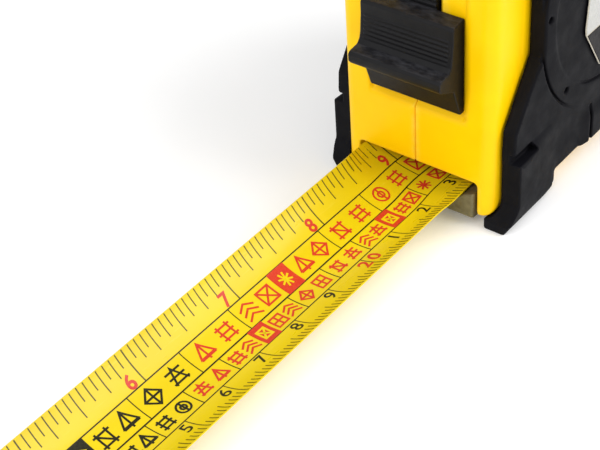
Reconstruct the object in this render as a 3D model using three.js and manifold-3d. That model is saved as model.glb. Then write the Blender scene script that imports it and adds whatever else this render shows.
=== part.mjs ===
// A 5 m pocket tape measure with a 25 mm blade, part of it drawn out.
// Millimetres, +Z up. The origin is the middle of the case's flat base. The blade leaves the
// mouth towards -X, the badge is on the -Y side and the belt clip on the +Y side.
import * as THREE from "three";
import { mergeVertices } from "three/addons/utils/BufferGeometryUtils.js";
import Module from "manifold-3d";

const wasm = await Module();
wasm.setup();

// ---- case ----
const FRONT_X = -35; // plane of the front face and of the mouth
const REAR_X = 35;
const HALF_W = 17.3; // half the width of the yellow case
const EDGE_R = 3; // rounding of the case's long edges
const NOSE_R = 18; // top front corner, seen from the side
const HEEL_R = 12; // bottom rear corner
const TOE_R = 4.2; // bottom front corner
const CAVITY_HALF_W = 14.9;
const WALL = 2.8;
const FRONT_WALL = 4.4; // the front wall is thicker, because the lock's pocket is cut in it
const PARTING = [0.3, 0.5]; // the gap between the two halves, along Y

// ---- reel ----
const REEL_X = 1;
const REEL_Z = 40.2;
const CASE_R = REAR_X - REEL_X; // the round back is centred on the reel
const TOP_Z = REEL_Z + CASE_R;
const FLANGE_R = 29;
const DRUM_R = 17;
const DRUM_BORE_R = 15.9;
const COIL_R = 25.3;
const POST_R = 3.5;

// ---- blade, mouth and feet ----
const BLADE_W = 25;
const BLADE_T = 0.2;
const BLADE_ARC_R = 16; // the blade's own curve, across its width
const BLADE_Z = 5.1; // lowest line of the blade
const DRAWN_OUT = 226; // from the end hook's inner face to the mouth
const TIP_X = FRONT_X - DRAWN_OUT;
const LEAD_X = -12; // where the blade starts to rise to the reel
const MOUTH_HALF_W = 13.7;
const MOUTH_TOP = 10.2;
const MOUTH_DEPTH = 9.4;
const WEAR_PLATE_Z = BLADE_Z - 0.5; // the wear plate's lowest line
const RIVET_R = 1;
const RIVET_HEAD_R = 1.5;
const RIVET_HEAD_Z = [BLADE_Z + 2.2, BLADE_Z + 2.7];
const RIVETS = [-3, 3].flatMap((y) => [[TIP_X + 5, y], [TIP_X + 11, y]]);
const HOOK_SLOT_R = 1.3;
const HOOK_FLOAT = 0.4;
const LEG_Z = 2.6; // the two legs beside the mouth end this high above the base
const LEG_CORNER_R = 2.8; // rounding of a leg's lower outer corner, seen from the front
const FOOT_INNER_Y = 15.2;
const FOOT_LENGTH = 18;
const FOOT_TOP_Z = 17.4;
const FOOT_INSET = 0.2; // from the case's front and rear faces to the feet
const FOOT_TOE = 2.4; // how far a foot's toe stands out from the face above it

// ---- grips ----
const GRIP_FRONT = FRONT_X + 11.2; // the grip's front edge, above its flare
const GRIP_INNER_Y = HALF_W + 0.3;
const GRIP_Y = 20.5;
const DISC_Y = 22;
const FOOT_Y = 21.9;
const DISC_R = 26.7;
const BADGE_RECESS_R = 21.2;
const BADGE_FLOOR_Y = 21.3;
const HOLES = 7; // blind holes around the disc
const HOLE_RING_R = 23.5;
const SLANT_DEPTH = 1.1;
const PAD_Y = 21.2; // the ribbed pad low on the grip's side

// ---- lock ----
const POCKET_HALF_W = 10.6;
const POCKET_DEPTH = 1.3;
const POCKET_Z = 22.9;
const SLOT_HALF_W = 4.7;
const SLOT_Z = [30, 55.3];
const SLIDER_HALF_W = 10.2;
const STEM_HALF_W = 4.3;
const SLIDER_Z = [25, 45.2];
const STEM_TOP = 48.5;

// ---- screws, clip ----
const SCREWS = [[-21, 63.5], [-26.2, 24.2], [25, 11]]; // x, z of the three case screws
const BOSS_R = 2.2;
const SCREW_WAY_R = 2.7; // the counterbores over the case screws' heads
const CLIP_HALF_W = 8;
const CLIP_T = 1;
const CLIP_BASE_Z = [REEL_Z - 8, REEL_Z + 11.5];
const CLIP_SEAT_Y = BADGE_FLOOR_Y + 0.2;
const CLIP_REACH = 6; // from the clip's seat to the inner face of its arm

const GAP = 0.3; // between pieces that touch

const yellow = { color: 0xffd20a, roughness: 0.38, metalness: 0 };
const rubber = { color: 0x2d2d31, roughness: 0.7, metalness: 0 };
const blackPlastic = { color: 0x1c1c1e, roughness: 0.5, metalness: 0 };
const greyPlastic = { color: 0x6d7074, roughness: 0.5, metalness: 0 };
const whitePlastic = { color: 0xe8e6df, roughness: 0.5, metalness: 0 };
const bladePaint = { color: 0xebd728, roughness: 0.35, metalness: 0.1 };
const steel = { color: 0x9a9a98, roughness: 0.35, metalness: 1 };
const wearSteel = { color: 0x8c8464, roughness: 0.4, metalness: 0.8 };
const blackSteel = { color: 0x26272a, roughness: 0.45, metalness: 0.6 };
const badgePrint = { color: 0xc9c9c6, roughness: 0.35, metalness: 0.4 };

// ---------------------------------------------------------------- helpers

// A closed geometry as a manifold-3d solid with its faces pointing out.
function solid(geometry) {
  const plain = geometry.index ? geometry.toNonIndexed() : geometry.clone();
  plain.deleteAttribute("normal");
  plain.deleteAttribute("uv");
  const merged = mergeVertices(plain, 1e-4);
  const points = merged.attributes.position.array;
  const index = merged.index.array;
  const triangles = [];
  let volume = 0;
  for (let i = 0; i < index.length; i += 3) {
    const [a, b, c] = [index[i], index[i + 1], index[i + 2]];
    if (a === b || b === c || c === a) continue;
    triangles.push(a, b, c);
    const p = (k) => new THREE.Vector3().fromArray(points, 3 * k);
    volume += p(a).dot(p(b).cross(p(c)));
  }
  if (volume < 0) triangles.reverse();
  return new wasm.Manifold(new wasm.Mesh({
    numProp: 3,
    vertProperties: new Float32Array(points),
    triVerts: new Uint32Array(triangles),
  }));
}

function part(name, body, look) {
  const mesh = body.getMesh();
  const geometry = new THREE.BufferGeometry();
  geometry.setAttribute("position", new THREE.BufferAttribute(mesh.vertProperties, 3));
  geometry.setIndex(new THREE.BufferAttribute(mesh.triVerts, 1));
  geometry.computeVertexNormals();
  const piece = new THREE.Mesh(geometry, new THREE.MeshStandardMaterial(look));
  piece.name = name;
  return piece;
}

const union = (bodies) => bodies.reduce((a, b) => a.add(b));
const cut = (body, ...tools) => tools.reduce((a, b) => a.subtract(b), body);

function box(x, y, z) {
  const geometry = new THREE.BoxGeometry(x[1] - x[0], y[1] - y[0], z[1] - z[0]);
  geometry.translate((x[0] + x[1]) / 2, (y[0] + y[1]) / 2, (z[0] + z[1]) / 2);
  return solid(geometry);
}

function outline(points) {
  return new THREE.Shape(points.map(([a, b]) => new THREE.Vector2(a, b)));
}

// The outline of a bent strip of constant thickness; its points are the middle of the strip.
function ribbon(points, thickness) {
  const v = points.map(([a, b]) => new THREE.Vector2(a, b));
  const normal = (a, b) => new THREE.Vector2(a.y - b.y, b.x - a.x).normalize();
  const offsets = v.map((p, i) => {
    const before = normal(v[Math.max(i - 1, 0)], v[Math.max(i, 1)]);
    const after = normal(v[Math.min(i, v.length - 2)], v[Math.min(i + 1, v.length - 1)]);
    const middle = before.clone().add(after).normalize();
    return middle.multiplyScalar(thickness / 2 / middle.dot(before));
  });
  const near = v.map((p, i) => p.clone().add(offsets[i]));
  const far = v.map((p, i) => p.clone().sub(offsets[i]));
  return new THREE.Shape([...near, ...far.reverse()]);
}

// A shape drawn in (x, z), extruded from y[0] to y[1], with its edges rounded by round.
function prismY(shape, y, round = 0, arcSteps = 8) {
  const geometry = new THREE.ExtrudeGeometry(shape, {
    depth: y[1] - y[0] - 2 * round,
    bevelEnabled: round > 0,
    bevelThickness: round,
    bevelSize: round,
    bevelSegments: round > 1 ? 4 : 1,
    curveSegments: arcSteps,
  });
  geometry.rotateX(Math.PI / 2);
  geometry.translate(0, y[1] - round, 0);
  return solid(geometry);
}

// A shape drawn in (y, z), extruded from x[0] to x[1].
function prismX(shape, x, arcSteps = 8) {
  const geometry = new THREE.ExtrudeGeometry(shape, {
    depth: x[1] - x[0], bevelEnabled: false, curveSegments: arcSteps,
  });
  const axes = [new THREE.Vector3(0, 1, 0), new THREE.Vector3(0, 0, 1), new THREE.Vector3(1, 0, 0)];
  geometry.applyMatrix4(new THREE.Matrix4().makeBasis(...axes));
  geometry.translate(x[0], 0, 0);
  return solid(geometry);
}

function rodY(x, z, r, y, sides = 24, r2 = r) {
  const geometry = new THREE.CylinderGeometry(r2, r, y[1] - y[0], sides);
  geometry.translate(x, (y[0] + y[1]) / 2, z);
  return solid(geometry);
}

// A closed (radius, y) profile turned about the reel's axis.
function turned(profile, sides) {
  const points = [...profile, profile[0]].map(([r, y]) => new THREE.Vector2(r, y));
  const geometry = new THREE.LatheGeometry(points, sides);
  geometry.translate(REEL_X, 0, REEL_Z);
  return solid(geometry);
}

const ring = (r, y, sides = 40) =>
  turned([[r[0], y[0]], [r[1], y[0]], [r[1], y[1]], [r[0], y[1]]], sides);

const mirrorY = (body) => body.mirror([0, 1, 0]);

function rodZ(x, y, r, z, sides = 12) {
  const geometry = new THREE.CylinderGeometry(r, r, z[1] - z[0], sides);
  geometry.rotateX(Math.PI / 2);
  geometry.translate(x, y, (z[0] + z[1]) / 2);
  return solid(geometry);
}

// A shape drawn in (x, y), extruded from z[0] to z[1].
function prismZ(shape, z) {
  const geometry = new THREE.ExtrudeGeometry(shape, { depth: z[1] - z[0], bevelEnabled: false });
  geometry.translate(0, 0, z[0]);
  return solid(geometry);
}

// ---------------------------------------------------------------- case

// The case seen from the side, moved inwards by inset.
function caseShape(inset) {
  const front = FRONT_X + inset;
  const s = new THREE.Shape();
  s.moveTo(front, TOE_R);
  s.absarc(FRONT_X + TOE_R, TOE_R, Math.max(TOE_R - inset, 0.2), Math.PI, 1.5 * Math.PI);
  s.absarc(REAR_X - HEEL_R, HEEL_R, HEEL_R - inset, -0.5 * Math.PI, 0);
  s.absarc(REEL_X, REEL_Z, CASE_R - inset, 0, 0.5 * Math.PI);
  s.absarc(FRONT_X + NOSE_R, TOP_Z - NOSE_R, NOSE_R - inset, 0.5 * Math.PI, Math.PI);
  s.closePath();
  return s;
}

// Points around a leg's rounded corner, (y, z), at a distance of gap from it.
function legCorner(gap) {
  const r = LEG_CORNER_R + gap;
  return [-72, -54, -36, -18, 0].map(THREE.MathUtils.degToRad).map((a) => [
    HALF_W - LEG_CORNER_R + r * Math.cos(a),
    LEG_Z + LEG_CORNER_R + r * Math.sin(a),
  ]);
}

function mouthCuts() {
  const wide = [-MOUTH_HALF_W, MOUTH_HALF_W];
  const front = FRONT_X - 1;
  const mouth = box([front, FRONT_X + MOUTH_DEPTH], wide, [-1, MOUTH_TOP]);
  const throat = box([front, FRONT_X + MOUTH_DEPTH + 6], wide, [WALL, MOUTH_TOP]);
  const belowLegs = box([front, FRONT_X + MOUTH_DEPTH], [-20, 20], [-1, LEG_Z]);
  const aroundFoot = outline([
    [FOOT_INNER_Y - GAP, -1], [FOOT_INNER_Y - GAP, LEG_Z], ...legCorner(0),
    [20, LEG_Z + LEG_CORNER_R], [20, -1],
  ]);
  const feet = [
    prismX(aroundFoot, [front, FRONT_X + FOOT_INSET + FOOT_LENGTH + GAP]),
    prismX(aroundFoot, [REAR_X - FOOT_INSET - FOOT_LENGTH - GAP, REAR_X + 1]),
  ];
  return [mouth, throat, belowLegs, ...feet, ...feet.map(mirrorY)];
}

function lockCuts() {
  const face = FRONT_X - 2;
  const floor = FRONT_X + POCKET_DEPTH;
  const pocket = outline([
    [face, POCKET_Z], [FRONT_X, POCKET_Z], [floor, POCKET_Z + 1.4], [floor, TOP_Z], [face, TOP_Z],
  ]);
  return [
    prismY(pocket, [-POCKET_HALF_W, POCKET_HALF_W]),
    box([face, FRONT_X + FRONT_WALL + 1], [-SLOT_HALF_W, SLOT_HALF_W], SLOT_Z),
  ];
}

function caseCavity() {
  const room = prismY(caseShape(WALL), [-CAVITY_HALF_W, CAVITY_HALF_W], 0, 10);
  const frontWall = box([FRONT_X - 1, FRONT_X + FRONT_WALL], [-20, 20], [-1, TOP_Z + 1]);
  const bosses = SCREWS.map(([x, z]) => rodY(x, z, BOSS_R, [-20, 20], 16));
  return cut(room, frontWall, ...bosses);
}

function screwCuts() {
  const caseHoles = SCREWS.flatMap(([x, z]) => [
    rodY(x, z, 1.5, [-13, 20], 16),
    rodY(x, z, SCREW_WAY_R, [15.9, 20], 16),
  ]);
  const sockets = rodY(REEL_X, REEL_Z, POST_R + GAP, [-16, 16], 24);
  const postScrewHole = rodY(REEL_X, REEL_Z, 1.8, [-20, 20], 16);
  const postHeadSeat = rodY(REEL_X, REEL_Z, 3.4, [-20, -16.6], 16);
  return [...caseHoles, sockets, postScrewHole, postHeadSeat];
}

function caseHalves() {
  const block = prismY(caseShape(EDGE_R), [-HALF_W, HALF_W], EDGE_R, 7);
  const shell = cut(block, caseCavity(), ...mouthCuts(), ...lockCuts(), ...screwCuts());
  const leftSide = box([-50, 50], [-30, PARTING[0]], [-10, 90]);
  const rightSide = box([-50, 50], [PARTING[1], 30], [-10, 90]);
  return [
    part("case_half_badge_side", shell.intersect(leftSide), yellow),
    part("case_half_clip_side", shell.intersect(rightSide), yellow),
  ];
}

// ---------------------------------------------------------------- grips

// The grip seen from the side: it leaves a yellow band at the front and over the top, and
// comes forward low down to cover the leg beside the mouth.
function gripShape() {
  const rim = 4.2;
  const front = GRIP_FRONT;
  const noseR = NOSE_R - 6.5;
  const s = new THREE.Shape();
  s.moveTo(FRONT_X + 2.8, LEG_Z + 2.6);
  s.lineTo(REAR_X - HEEL_R, 5);
  s.absarc(REAR_X - HEEL_R, HEEL_R, HEEL_R - rim, -0.42 * Math.PI, 0);
  s.absarc(REEL_X, REEL_Z, CASE_R - rim, 0, 0.5 * Math.PI);
  s.absarc(front + noseR, TOP_Z - rim - noseR, noseR, 0.5 * Math.PI, Math.PI);
  s.lineTo(front, 34.8);
  s.lineTo(FRONT_X + 2.7, 22.4);
  s.lineTo(FRONT_X + 2.4, 18.6);
  s.closePath();
  return s;
}

// One foot of the rubber grip; it wraps under the case. It reaches from its outer end, at x,
// inwards along the way given as 1 or -1. Its toe stands out below the face above it, and it
// thins down inwards until it is level with the grip.
function foot(x, way) {
  const section = outline([
    [FOOT_INNER_Y, 0], [FOOT_Y - 2.2, 0], [FOOT_Y - 0.7, 2.5], [FOOT_Y, 5.2],
    [FOOT_Y, FOOT_TOP_Z - 2.2], [GRIP_Y + 0.1, FOOT_TOP_Z], [GRIP_INNER_Y, FOOT_TOP_Z],
    ...legCorner(GAP).reverse(), [FOOT_INNER_Y, LEG_Z - GAP],
  ]);
  const placed = (points) => outline(points.map(([reach, v]) => [x + way * reach, v]));
  const profile = placed([
    [0, -1], [0, 2.3], [FOOT_TOE, 6.2], [FOOT_TOE, FOOT_TOP_Z + 1], [FOOT_LENGTH, FOOT_TOP_Z + 1],
    [FOOT_LENGTH, 3], [FOOT_LENGTH - 1, 1.4], [FOOT_LENGTH - 5.5, 0.1], [FOOT_LENGTH - 5.8, -1],
  ]);
  const plan = placed([
    [-1, 0], [-1, FOOT_Y + 1], [FOOT_TOE, FOOT_Y], [FOOT_LENGTH + 1, GRIP_Y], [FOOT_LENGTH + 1, 0],
  ]);
  const span = [x, x + way * FOOT_LENGTH].sort((a, b) => a - b);
  return prismX(section, span).intersect(prismY(profile, [0, 30])).intersect(prismZ(plan, [-1, 30]));
}

function gripBody() {
  const plate = prismY(gripShape(), [GRIP_INNER_Y, GRIP_Y], 0, 12);
  const round = rodY(REEL_X, REEL_Z, DISC_R, [GRIP_INNER_Y, DISC_Y], 56);
  const disc = round.intersect(box([GRIP_FRONT, 40], [0, 30], [0, 80]));
  const feet = [foot(FRONT_X + FOOT_INSET, 1), foot(REAR_X - FOOT_INSET, -1)];
  const padPlan = outline([
    [-8, GRIP_INNER_Y], [-8, GRIP_Y], [-5, PAD_Y], [16.5, PAD_Y], [16.5, GRIP_INNER_Y],
  ]);
  const pad = prismZ(padPlan, [4.8, 14.2]);
  return union([plate, disc, pad, ...feet]);
}

function gripCuts() {
  const grooves = [-4.4, 0.4, 5.2, 10].map((x) => box([x, x + 0.9], [GRIP_Y - 0.2, 30], [4, 13.5]));
  const slant = prismY(outline([
    [FRONT_X + 2, 17.7], [FRONT_X + 2, 15.6], [FRONT_X + 10.2, 15.2], [FRONT_X + 8.4, 17.7],
  ]), [GRIP_Y - SLANT_DEPTH, 30]);
  const holes = Array.from({ length: HOLES }, (_, k) => {
    const a = THREE.MathUtils.degToRad(175 + k * 360 / HOLES);
    const [x, z] = [REEL_X + HOLE_RING_R * Math.cos(a), REEL_Z + HOLE_RING_R * Math.sin(a)];
    return rodY(x, z, 0.7, [20.6, 30], 10);
  });
  const screwHoles = SCREWS.map(([x, z]) => rodY(x, z, SCREW_WAY_R, [0, 30], 16));
  return { grooves, slant, holes, screwHoles };
}

function grips() {
  const body = gripBody();
  const { grooves, slant, holes, screwHoles } = gripCuts();
  const recess = rodY(REEL_X, REEL_Z, BADGE_RECESS_R, [BADGE_FLOOR_Y, 30], 48);
  const clipSeat = box([REEL_X - 8.6, REEL_X + 8.6], [BADGE_FLOOR_Y, 30], [REEL_Z - 8.6, REEL_Z + 12]);
  const screwWay = rodY(REEL_X, REEL_Z, 2.2, [0, 30], 16);
  const badgeSide = cut(body, ...grooves, slant, ...holes, recess);
  const clipSide = cut(body, ...grooves, slant, ...holes, ...screwHoles, clipSeat, screwWay);
  return [
    part("grip_badge_side", mirrorY(badgeSide), rubber),
    part("grip_clip_side", clipSide, rubber),
  ];
}

function badge() {
  const half = [[8.4, 14.5], [10.8, -6.6], [10.5, -7.8], [4.2, -17.6]];
  const otherHalf = half.map(([x, z]) => [-x, z]).reverse();
  const shield = outline([...half, ...otherHalf].map(([x, z]) => [REEL_X + x, REEL_Z + z]));
  return part("badge", prismY(shield, [-BADGE_FLOOR_Y - 0.5, -BADGE_FLOOR_Y - 0.1]), badgePrint);
}

// ---------------------------------------------------------------- lock

function slider() {
  const f = FRONT_X;
  const back = f + POCKET_DEPTH - GAP;
  const side = outline([
    [back, SLIDER_Z[0]], [back, SLIDER_Z[1]], [f - 2.4, SLIDER_Z[1] - 0.4], [f - 2.9, SLIDER_Z[1] - 0.9],
    [f - 2.9, 42], [f - 3.3, 38], [f - 3.6, 36.9], [f - 4.3, 36.1], [f - 6.8, 35.8], [f - 7.3, 35.3],
    [f - 7.3, 33.9], [f - 6.8, 33.2], [f - 2.6, 31.2], [f - 0.4, SLIDER_Z[0]],
  ]);
  const thumb = prismY(side, [-SLIDER_HALF_W, SLIDER_HALF_W], 0);
  const ribs = [0, 1, 2, 3, 4].map((k) => {
    const z = 37.2 + k * 0.95;
    return box([f - 3.8 + 0.1 * k, f - 2], [-SLIDER_HALF_W + 0.8, SLIDER_HALF_W - 0.8], [z, z + 0.45]);
  });
  const stem = box([back - 0.01, f + FRONT_WALL + 0.2], [-STEM_HALF_W, STEM_HALF_W], [31, STEM_TOP]);
  const steps = [0, 1, 2].map((k) => {
    const z = SLIDER_Z[1] + 0.5 + k * 1.1;
    return box([back - 0.5, back + 1], [-STEM_HALF_W, STEM_HALF_W], [z, z + 0.6]);
  });
  return part("lock_slider", union([thumb, stem, ...steps, ...ribs]), blackPlastic);
}

function lockArm() {
  const x = FRONT_X + FRONT_WALL + 1.2;
  const side = ribbon([[x, 46.5], [x, 13.8], [-19.7, 10.4], [-13.4, 11.9]], 1.4);
  return part("lock_arm", prismY(side, [-4, 4]), greyPlastic);
}

function brakePad() {
  const side = outline([[-19.6, 6.9], [-13.6, 6.9], [-13.6, 10.7], [-19.6, 9.3]]);
  return part("brake_pad", prismY(side, [-4.5, 4.5]), rubber);
}

function leafSpring() {
  const x = FRONT_X + FRONT_WALL + 2.5;
  const side = ribbon([[x, 50], [x, 41], [x + 1, 39.5], [x, 38], [x, 30]], 0.4);
  return part("detent_spring", prismY(side, [-3, 3]), steel);
}

// ---------------------------------------------------------------- reel

function reelParts() {
  const drum = turned([
    [POST_R + 0.4, -14], [FLANGE_R, -14], [FLANGE_R, -12.9], [DRUM_R, -12.9], [DRUM_R, 12.9],
    [FLANGE_R, 12.9], [FLANGE_R, 14], [DRUM_BORE_R, 14], [DRUM_BORE_R, -12.9], [POST_R + 0.4, -12.9],
  ], 44);
  const post = cut(rodY(REEL_X, REEL_Z, POST_R, [-15.7, 15.7], 24), rodY(REEL_X, REEL_Z, 1.8, [-20, 20], 16));
  return [
    part("reel_drum", drum, whitePlastic),
    part("reel_cover", ring([POST_R + 0.4, DRUM_BORE_R - 0.4], [12.9, 14]), whitePlastic),
    part("centre_post", post, steel),
    part("washer_badge_side", ring([5, 12], [-14.6, -14.25], 32), greyPlastic),
    part("washer_clip_side", ring([5, 12], [14.25, 14.6], 32), greyPlastic),
    part("blade_coil", ring([DRUM_R + GAP, COIL_R], [-BLADE_W / 2, BLADE_W / 2], 48), bladePaint),
  ];
}

// The flat spiral spring inside the drum that winds the blade in.
function powerSpring() {
  const turns = 7;
  const steps = 18 * turns;
  const [r0, r1] = [POST_R + 0.9, DRUM_BORE_R - 0.9];
  const edge = (offset) => Array.from({ length: steps + 1 }, (_, i) => {
    const a = (i / steps) * turns * 2 * Math.PI;
    const r = r0 + (r1 - r0) * (i / steps) + offset;
    return [REEL_X + r * Math.cos(a), REEL_Z + r * Math.sin(a)];
  });
  const shape = outline([...edge(0.25), ...edge(-0.25).reverse()]);
  return part("power_spring", prismY(shape, [-11.5, 12]), steel);
}

// ---------------------------------------------------------------- blade

// The blade's centre line in the (x, z) plane: level from the hook to LEAD_X, then up in a
// smooth bend to where it meets the coil. Each station is [x, z, slope angle, flatness 0..1].
function bladeStations() {
  const reach = COIL_R + 0.5;
  const dx = REEL_X - LEAD_X;
  const dz = REEL_Z - BLADE_Z;
  const slope = Math.atan2(dz, dx) - Math.asin(reach / Math.hypot(dx, dz));
  const run = Math.sqrt(dx * dx + dz * dz - reach * reach) - 0.8;
  const stations = [[TIP_X + 0.6, BLADE_Z, 0, 0], [LEAD_X - 4, BLADE_Z, 0, 0]];
  const bend = 4;
  for (let k = 1; k <= bend; k++) {
    const t = k / bend;
    const along = 4 * t;
    stations.push([
      LEAD_X - 4 + 4 * t * (1 + t * (Math.cos(slope) - 1)) + along * t * Math.cos(slope),
      BLADE_Z + along * t * Math.sin(slope), slope * t, 0.25 * t,
    ]);
  }
  const [x0, z0] = stations.at(-1);
  const rest = run - 5;
  for (const t of [0.35, 0.7, 1]) {
    const flat = 0.25 + 0.75 * t;
    stations.push([x0 + rest * t * Math.cos(slope), z0 + rest * t * Math.sin(slope), slope, flat]);
  }
  return stations;
}

function bladeStrip() {
  const across = 12;
  const points = [];
  for (const [x, z, slope, flat] of bladeStations()) {
    const r = BLADE_ARC_R / Math.max(1 - flat, 0.02);
    for (const top of [0, 1]) {
      for (let j = 0; j <= across; j++) {
        const a = (j / across - 0.5) * BLADE_W / r;
        const rise = r * (1 - Math.cos(a)) + top * BLADE_T * Math.cos(a);
        const y = (r - top * BLADE_T) * Math.sin(a);
        points.push(x - rise * Math.sin(slope), y, z + rise * Math.cos(slope));
      }
    }
  }
  const row = 2 * (across + 1);
  const at = (i, top, j) => i * row + top * (across + 1) + j;
  const faces = [];
  const quad = (a, b, c, d) => faces.push(a, b, c, a, c, d);
  const last = points.length / 3 / row - 1;
  for (let i = 0; i < last; i++) {
    for (let j = 0; j < across; j++) {
      quad(at(i, 1, j), at(i + 1, 1, j), at(i + 1, 1, j + 1), at(i, 1, j + 1));
      quad(at(i, 0, j), at(i, 0, j + 1), at(i + 1, 0, j + 1), at(i + 1, 0, j));
    }
    quad(at(i, 0, 0), at(i + 1, 0, 0), at(i + 1, 1, 0), at(i, 1, 0));
    quad(at(i, 0, across), at(i, 1, across), at(i + 1, 1, across), at(i + 1, 0, across));
  }
  for (let j = 0; j < across; j++) {
    quad(at(0, 0, j), at(0, 1, j), at(0, 1, j + 1), at(0, 0, j + 1));
    quad(at(last, 0, j), at(last, 0, j + 1), at(last, 1, j + 1), at(last, 1, j));
  }
  const geometry = new THREE.BufferGeometry();
  geometry.setAttribute("position", new THREE.Float32BufferAttribute(points, 3));
  geometry.setIndex(faces);
  return solid(geometry);
}

function bladeParts() {
  const holes = RIVETS.map(([x, y]) => rodZ(x, y, RIVET_R + GAP, [0, 20]));
  const rivets = RIVETS.map(([x, y], k) => {
    const shank = rodZ(x, y, RIVET_R, [BLADE_Z - 0.1, RIVET_HEAD_Z[0] + 0.1]);
    const head = rodZ(x, y, RIVET_HEAD_R, RIVET_HEAD_Z, 14);
    return part(`hook_rivet_${k + 1}`, union([shank, head]), steel);
  });
  return [part("blade", cut(bladeStrip(), ...holes), bladePaint), ...rivets];
}

// The end hook: a tongue curved to the blade with slots for the rivets, and a lip. Below the
// blade the lip's inner face stands a little proud, so that it alone meets the work.
function endHook() {
  const r = BLADE_ARC_R - BLADE_T - GAP;
  const centreZ = BLADE_Z + BLADE_ARC_R;
  const half = 0.46;
  const s = new THREE.Shape();
  s.absarc(0, centreZ, r, -Math.PI / 2 - half, -Math.PI / 2 + half);
  s.absarc(0, centreZ, r - 0.8, -Math.PI / 2 + half, -Math.PI / 2 - half, true);
  const tongue = prismX(s, [TIP_X - 0.4, TIP_X + 14.5], 10);
  const lip = prismX(outline([
    [-9, 9.8], [-9, 2], [-7.6, 0.5], [7.6, 0.5], [9, 2], [9, 9.8], [8, 10.8], [-8, 10.8],
  ]), [TIP_X - 0.8, TIP_X - 0.2]);
  const pad = prismX(outline([
    [-9, BLADE_Z - 0.3], [-9, 2], [-7.6, 0.5], [7.6, 0.5], [9, 2], [9, BLADE_Z - 0.3],
  ]), [TIP_X - 0.5, TIP_X]);
  const slots = RIVETS.flatMap(([x, y]) => [
    rodZ(x - HOOK_FLOAT, y, HOOK_SLOT_R, [0, 20]),
    rodZ(x + HOOK_FLOAT, y, HOOK_SLOT_R, [0, 20]),
    box([x - HOOK_FLOAT, x + HOOK_FLOAT], [y - HOOK_SLOT_R, y + HOOK_SLOT_R], [1, 19]),
  ]);
  return part("end_hook", cut(union([tongue, lip, pad]), ...slots), steel);
}

// ---------------------------------------------------------------- mouth

function mouthParts() {
  const halfW = MOUTH_HALF_W - GAP;
  const dipRadius = 26;
  const top = Array.from({ length: 11 }, (_, k) => {
    const y = halfW * (1 - k / 5);
    return [y, WEAR_PLATE_Z + y * y / (2 * dipRadius)];
  });
  const shape = outline([[-halfW, 1.9], [halfW, 1.9], ...top]);
  const plate = prismX(shape, [FRONT_X - 0.8, FRONT_X + 6.4]);
  const nose = box([FRONT_X - 2, FRONT_X - 0.3], [-20, 20], [0, 2.2]);
  return [
    part("mouth_wear_plate", cut(plate, nose), wearSteel),
    part("hook_bumper", box([FRONT_X + 6.8, FRONT_X + 9.1], [-11, 11], [0.6, 4]), rubber),
  ];
}

// ---------------------------------------------------------------- clip and screws

function clipParts() {
  const wide = [REEL_X - CLIP_HALF_W, REEL_X + CLIP_HALF_W];
  const [low, high] = CLIP_BASE_Z;
  const face = CLIP_SEAT_Y + CLIP_T;
  const hole = rodY(REEL_X, REEL_Z, 1.8, [0, 40], 16);
  const base = cut(box(wide, [CLIP_SEAT_Y, face], [low, high]), hole);
  const middle = CLIP_SEAT_Y + CLIP_REACH + CLIP_T / 2;
  const arm = ribbon([
    [face + GAP + CLIP_T / 2, high], [face + GAP + CLIP_T / 2, high - 1.5], [middle, high - 6],
    [middle, 16], [middle - 0.8, 13.4], [face + 0.9, 9.6], [face + 0.9, 8.8], [face + 2.6, 6],
  ], CLIP_T);
  const screw = union([
    rodY(REEL_X, REEL_Z, 3.2, [face + 0.1, face + 1.2], 20),
    rodY(REEL_X, REEL_Z, 1.4, [4, face + 0.2], 12),
  ]);
  const driver = box([REEL_X - 2.2, REEL_X + 2.2], [face + 0.7, 30], [REEL_Z - 0.4, REEL_Z + 0.4]);
  return [
    part("clip_base", base, blackSteel),
    part("clip_arm", prismX(arm, wide), blackSteel),
    part("clip_screw", cut(screw, driver), steel),
  ];
}

function screws() {
  const caseScrews = SCREWS.map(([x, z], k) => {
    const body = union([rodY(x, z, 2.4, [16, 17.3], 16), rodY(x, z, 1.2, [-12.5, 16.1], 12)]);
    const driver = box([x - 1.6, x + 1.6], [16.8, 20], [z - 0.3, z + 0.3]);
    return part(`case_screw_${k + 1}`, cut(body, driver), steel);
  });
  const post = union([
    rodY(REEL_X, REEL_Z, 3, [-17.2, -16.7], 16),
    rodY(REEL_X, REEL_Z, 1.4, [-16.8, -4], 12),
  ]);
  return [...caseScrews, part("post_screw", post, steel)];
}

const tape = new THREE.Group();
tape.add(
  ...caseHalves(), ...grips(), badge(), slider(), lockArm(), brakePad(), leafSpring(),
  ...reelParts(), powerSpring(), ...bladeParts(), endHook(), ...mouthParts(),
  ...clipParts(), ...screws(),
);

export default tape;
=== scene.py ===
"""Looks of a 5 m pocket tape measure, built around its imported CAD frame.

Shapes are worked out in millimetres, in the CAD's frame, and turned into metres as they become
meshes. Moulded parts are signed-distance fields meshed by openvdb, so that every edge has the
rounding of a real moulding. The blade and its print share one surface function.
"""
import math

import bmesh
import bpy
import numpy as np
import openvdb
from mathutils import Matrix, Vector


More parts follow.
